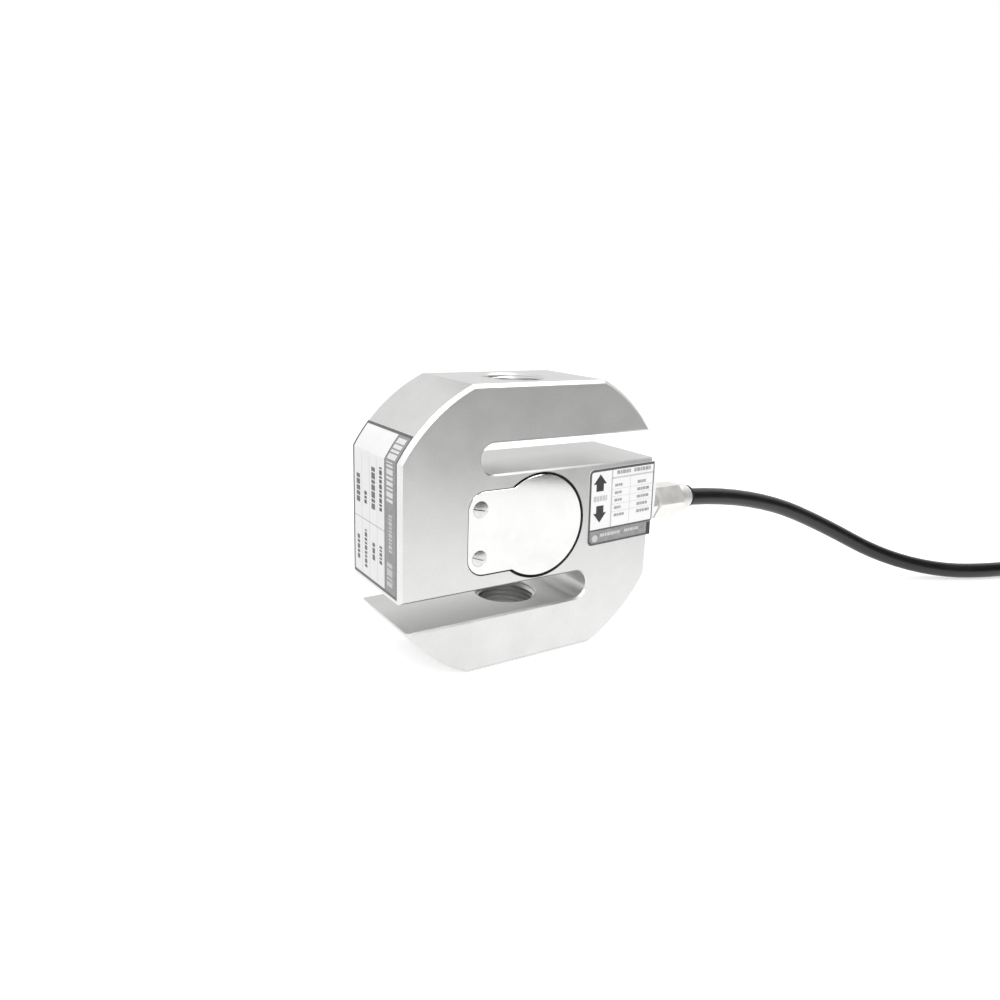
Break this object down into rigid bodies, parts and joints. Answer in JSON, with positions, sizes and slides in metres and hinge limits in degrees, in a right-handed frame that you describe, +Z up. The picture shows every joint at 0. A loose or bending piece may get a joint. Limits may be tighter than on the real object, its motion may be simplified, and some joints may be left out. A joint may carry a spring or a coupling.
{
  "type": "s type load cell",
  "caption": "S-type load cell: a thick slotted disc body with a threaded hole in each arm, covered gauge pockets, labels, and a cable gland with its coiled cable.",
  "frame": {"origin": "centre of the bottom flat that the body stands on, on the axis of the threaded holes", "axes": "+Z up along the load axis through both threaded holes; +X towards the cable gland; -Y towards the front face, with the wiring label"},
  "size_m": [0.4526, 0.07, 0.08],
  "materials": {
    "nickel_steel": "satin nickel plate",
    "cover_steel": "satin nickel plate, finely sanded",
    "screw_steel": "bright nickel plate",
    "gland_nickel": "bright nickel plate on brass",
    "black_rubber": "matt",
    "gauge_film": "amber polyimide",
    "board_laminate": "green solder mask",
    "resistor_black": "matt",
    "wire_enamel": "clear enamel on copper",
    "core_pvc": "satin",
    "label_vinyl": "silver grey vinyl with printed lines",
    "cable_pvc": "satin black PVC",
    "tie_nylon": "satin black nylon",
    "sleeve_black": "satin heat-shrink",
    "lead_red": "satin",
    "lead_white": "satin",
    "lead_green": "satin",
    "lead_black": "satin",
    "tinned_copper": "tinned copper strand"
  },
  "bodies": {
    "root": {"s_beam_body": "nickel_steel", "front_cover": "cover_steel", "rear_cover": "cover_steel", "front_gasket": "black_rubber", "rear_gasket": "black_rubber", "front_upper_screw": "screw_steel", "front_lower_screw": "screw_steel", "rear_upper_screw": "screw_steel", "rear_lower_screw": "screw_steel", "front_strain_gauge": "gauge_film", "rear_strain_gauge": "gauge_film", "terminal_board": "board_laminate", "trim_resistors": "resistor_black", "front_bridge_wires": "wire_enamel", "rear_bridge_wires": "wire_enamel", "cable_cores": "core_pvc", "gland_washer": "gland_nickel", "gland_body": "gland_nickel", "gland_nut": "gland_nickel", "gland_seal": "black_rubber", "rating_label": "label_vinyl", "wiring_label": "label_vinyl", "cable": "cable_pvc", "cable_coil": "cable_pvc", "cable_tail": "cable_pvc", "cable_tie": "tie_nylon", "cable_end_sleeve": "sleeve_black", "lead_red": "lead_red", "lead_white": "lead_white", "lead_shield": "tinned_copper", "lead_green": "lead_green", "lead_black": "lead_black", "lead_tips": "tinned_copper"}
  },
  "joints": []
}
